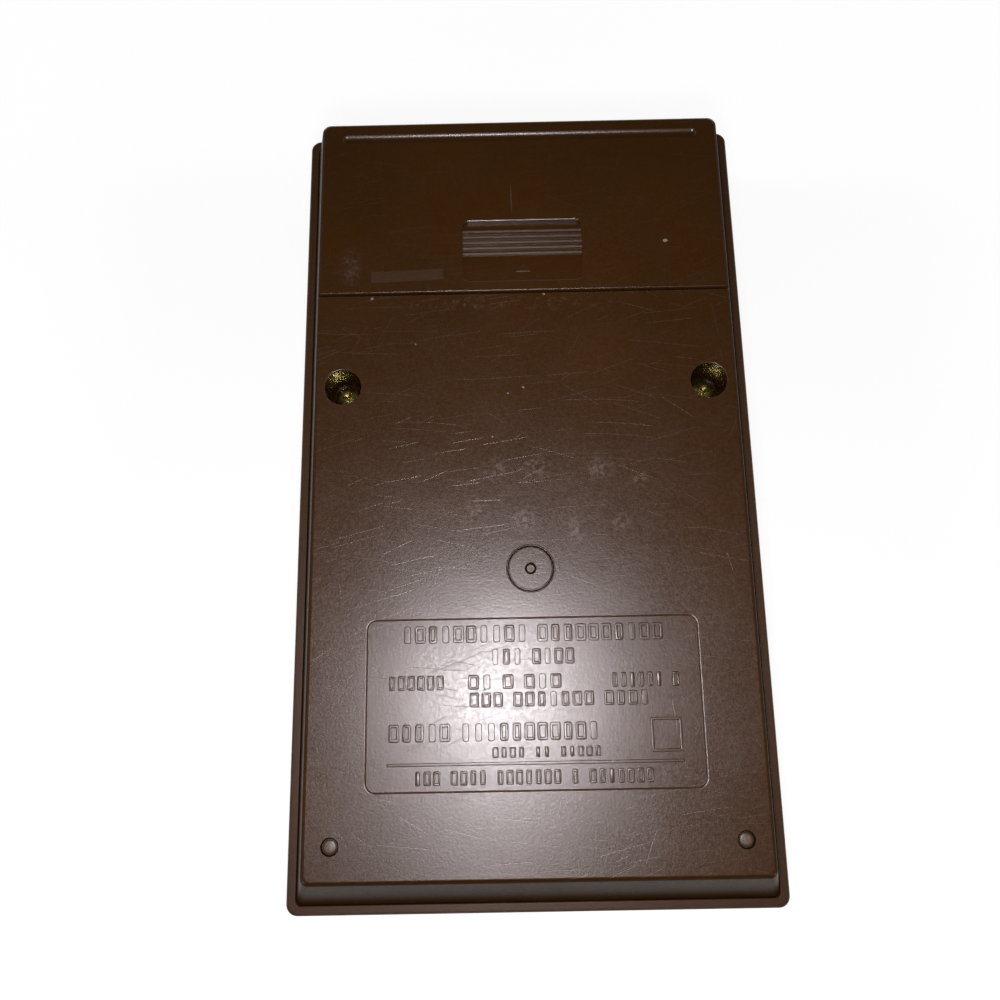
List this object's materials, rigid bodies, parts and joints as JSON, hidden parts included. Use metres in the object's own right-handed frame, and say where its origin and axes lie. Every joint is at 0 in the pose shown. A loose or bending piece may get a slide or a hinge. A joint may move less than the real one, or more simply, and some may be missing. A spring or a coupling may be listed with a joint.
{
  "type": "pocket calculator",
  "caption": "Pocket calculator lying face down: rimmed front case, raised back cover with screw wells and label panel, sliding battery door, sprung keypad, power slide and display inside.",
  "frame": {"origin": "centre of the plane that the front border rests on, with the calculator lying face down", "axes": "+Z out of the back of the case, +Y towards the display and battery end, +X to the right when looking at the back with the battery end up"},
  "size_m": [0.07, 0.122, 0.022],
  "materials": {
    "case_plastic": "satin moulded ABS, scratched",
    "pin_plastic": "satin, worn top",
    "face_aluminium": "brushed, champagne anodised",
    "window_acrylic": "clear acrylic",
    "plated_screw": "yellow chromate plated",
    "steel_screw": "bright",
    "board": "brown laminate with copper tracks",
    "sheet_rubber": "matte silicone",
    "polariser_film": "film",
    "lcd_glass": "polished",
    "reflector_foil": "satin foil",
    "black_plastic": "moulded",
    "zebra_rubber": "layered silicone",
    "chip_plastic": "moulded epoxy",
    "capacitor_sleeve": "shrink sleeve",
    "ceramic_disc": "dipped",
    "resistor_body": "lacquered",
    "knob_plastic": "satin",
    "contact_bronze": "sprung strip",
    "cell_jacket": "printed steel jacket",
    "contact_nickel": "nickel plated",
    "spring_steel": "bright wire",
    "red_wire": "insulated lead",
    "black_wire": "insulated lead",
    "key_dark": "satin",
    "key_light": "satin",
    "key_red": "satin"
  },
  "bodies": {
    "root": {"front_case": "case_plastic", "faceplate": "face_aluminium", "display_window": "window_acrylic", "back_cover": "case_plastic", "case_screws": "plated_screw", "foot_pins": "pin_plastic", "main_pcb": "board", "pcb_screws": "steel_screw", "contact_sheet": "sheet_rubber", "lcd_polariser": "polariser_film", "lcd_glass": "lcd_glass", "lcd_reflector": "reflector_foil", "lcd_clip": "black_plastic", "zebra_strip": "zebra_rubber", "calculator_chip": "chip_plastic", "filter_capacitor": "capacitor_sleeve", "ceramic_capacitors": "ceramic_disc", "resistors": "resistor_body", "battery_upper": "cell_jacket", "battery_lower": "cell_jacket", "bridge_contact": "contact_nickel", "bridge_spring": "spring_steel", "positive_contact": "contact_nickel", "negative_contact": "contact_nickel", "negative_spring": "spring_steel", "positive_wire": "red_wire", "negative_wire": "black_wire"},
    "battery_door": {"battery_door": "case_plastic"},
    "power_knob": {"power_knob": "knob_plastic", "switch_wiper": "contact_bronze"},
    "key_root": {"key_root": "key_dark"},
    "key_percent": {"key_percent": "key_dark"},
    "key_sign": {"key_sign": "key_dark"},
    "key_clear": {"key_clear": "key_red"},
    "key_memory_recall": {"key_memory_recall": "key_dark"},
    "key_memory_clear": {"key_memory_clear": "key_dark"},
    "key_memory_minus": {"key_memory_minus": "key_dark"},
    "key_memory_plus": {"key_memory_plus": "key_dark"},
    "key_7": {"key_7": "key_light"},
    "key_8": {"key_8": "key_light"},
    "key_9": {"key_9": "key_light"},
    "key_divide": {"key_divide": "key_light"},
    "key_4": {"key_4": "key_light"},
    "key_5": {"key_5": "key_light"},
    "key_6": {"key_6": "key_light"},
    "key_times": {"key_times": "key_light"},
    "key_1": {"key_1": "key_light"},
    "key_2": {"key_2": "key_light"},
    "key_3": {"key_3": "key_light"},
    "key_minus": {"key_minus": "key_light"},
    "key_0": {"key_0": "key_light"},
    "key_point": {"key_point": "key_light"},
    "key_equals": {"key_equals": "key_light"},
    "key_plus": {"key_plus": "key_light"}
  },
  "joints": [
    {"name": "door_slide", "type": "slide", "parent": "root", "child": "battery_door", "axis": [0, 1, 0], "range_m": [0, 0.031]},
    {"name": "knob_slide", "type": "slide", "parent": "root", "child": "power_knob", "axis": [-1, 0, 0], "range_m": [0, 0.004]},
    {"name": "press_root", "type": "slide", "parent": "root", "child": "key_root", "axis": [0, 0, 1], "range_m": [0, 0.0012], "stiffness_N_per_m": 500, "deforming": ["contact_sheet"]},
    {"name": "press_percent", "type": "slide", "parent": "root", "child": "key_percent", "axis": [0, 0, 1], "range_m": [0, 0.0012], "stiffness_N_per_m": 500, "deforming": ["contact_sheet"]},
    {"name": "press_sign", "type": "slide", "parent": "root", "child": "key_sign", "axis": [0, 0, 1], "range_m": [0, 0.0012], "stiffness_N_per_m": 500, "deforming": ["contact_sheet"]},
    {"name": "press_clear", "type": "slide", "parent": "root", "child": "key_clear", "axis": [0, 0, 1], "range_m": [0, 0.0012], "stiffness_N_per_m": 500, "deforming": ["contact_sheet"]},
    {"name": "press_memory_recall", "type": "slide", "parent": "root", "child": "key_memory_recall", "axis": [0, 0, 1], "range_m": [0, 0.0012], "stiffness_N_per_m": 500, "deforming": ["contact_sheet"]},
    {"name": "press_memory_clear", "type": "slide", "parent": "root", "child": "key_memory_clear", "axis": [0, 0, 1], "range_m": [0, 0.0012], "stiffness_N_per_m": 500, "deforming": ["contact_sheet"]},
    {"name": "press_memory_minus", "type": "slide", "parent": "root", "child": "key_memory_minus", "axis": [0, 0, 1], "range_m": [0, 0.0012], "stiffness_N_per_m": 500, "deforming": ["contact_sheet"]},
    {"name": "press_memory_plus", "type": "slide", "parent": "root", "child": "key_memory_plus", "axis": [0, 0, 1], "range_m": [0, 0.0012], "stiffness_N_per_m": 500, "deforming": ["contact_sheet"]},
    {"name": "press_7", "type": "slide", "parent": "root", "child": "key_7", "axis": [0, 0, 1], "range_m": [0, 0.0012], "stiffness_N_per_m": 500, "deforming": ["contact_sheet"]},
    {"name": "press_8", "type": "slide", "parent": "root", "child": "key_8", "axis": [0, 0, 1], "range_m": [0, 0.0012], "stiffness_N_per_m": 500, "deforming": ["contact_sheet"]},
    {"name": "press_9", "type": "slide", "parent": "root", "child": "key_9", "axis": [0, 0, 1], "range_m": [0, 0.0012], "stiffness_N_per_m": 500, "deforming": ["contact_sheet"]},
    {"name": "press_divide", "type": "slide", "parent": "root", "child": "key_divide", "axis": [0, 0, 1], "range_m": [0, 0.0012], "stiffness_N_per_m": 500, "deforming": ["contact_sheet"]},
    {"name": "press_4", "type": "slide", "parent": "root", "child": "key_4", "axis": [0, 0, 1], "range_m": [0, 0.0012], "stiffness_N_per_m": 500, "deforming": ["contact_sheet"]},
    {"name": "press_5", "type": "slide", "parent": "root", "child": "key_5", "axis": [0, 0, 1], "range_m": [0, 0.0012], "stiffness_N_per_m": 500, "deforming": ["contact_sheet"]},
    {"name": "press_6", "type": "slide", "parent": "root", "child": "key_6", "axis": [0, 0, 1], "range_m": [0, 0.0012], "stiffness_N_per_m": 500, "deforming": ["contact_sheet"]},
    {"name": "press_times", "type": "slide", "parent": "root", "child": "key_times", "axis": [0, 0, 1], "range_m": [0, 0.0012], "stiffness_N_per_m": 500, "deforming": ["contact_sheet"]},
    {"name": "press_1", "type": "slide", "parent": "root", "child": "key_1", "axis": [0, 0, 1], "range_m": [0, 0.0012], "stiffness_N_per_m": 500, "deforming": ["contact_sheet"]},
    {"name": "press_2", "type": "slide", "parent": "root", "child": "key_2", "axis": [0, 0, 1], "range_m": [0, 0.0012], "stiffness_N_per_m": 500, "deforming": ["contact_sheet"]},
    {"name": "press_3", "type": "slide", "parent": "root", "child": "key_3", "axis": [0, 0, 1], "range_m": [0, 0.0012], "stiffness_N_per_m": 500, "deforming": ["contact_sheet"]},
    {"name": "press_minus", "type": "slide", "parent": "root", "child": "key_minus", "axis": [0, 0, 1], "range_m": [0, 0.0012], "stiffness_N_per_m": 500, "deforming": ["contact_sheet"]},
    {"name": "press_0", "type": "slide", "parent": "root", "child": "key_0", "axis": [0, 0, 1], "range_m": [0, 0.0012], "stiffness_N_per_m": 500, "deforming": ["contact_sheet"]},
    {"name": "press_point", "type": "slide", "parent": "root", "child": "key_point", "axis": [0, 0, 1], "range_m": [0, 0.0012], "stiffness_N_per_m": 500, "deforming": ["contact_sheet"]},
    {"name": "press_equals", "type": "slide", "parent": "root", "child": "key_equals", "axis": [0, 0, 1], "range_m": [0, 0.0012], "stiffness_N_per_m": 500, "deforming": ["contact_sheet"]},
    {"name": "press_plus", "type": "slide", "parent": "root", "child": "key_plus", "axis": [0, 0, 1], "range_m": [0, 0.0012], "stiffness_N_per_m": 500, "deforming": ["contact_sheet"]}
  ]
}
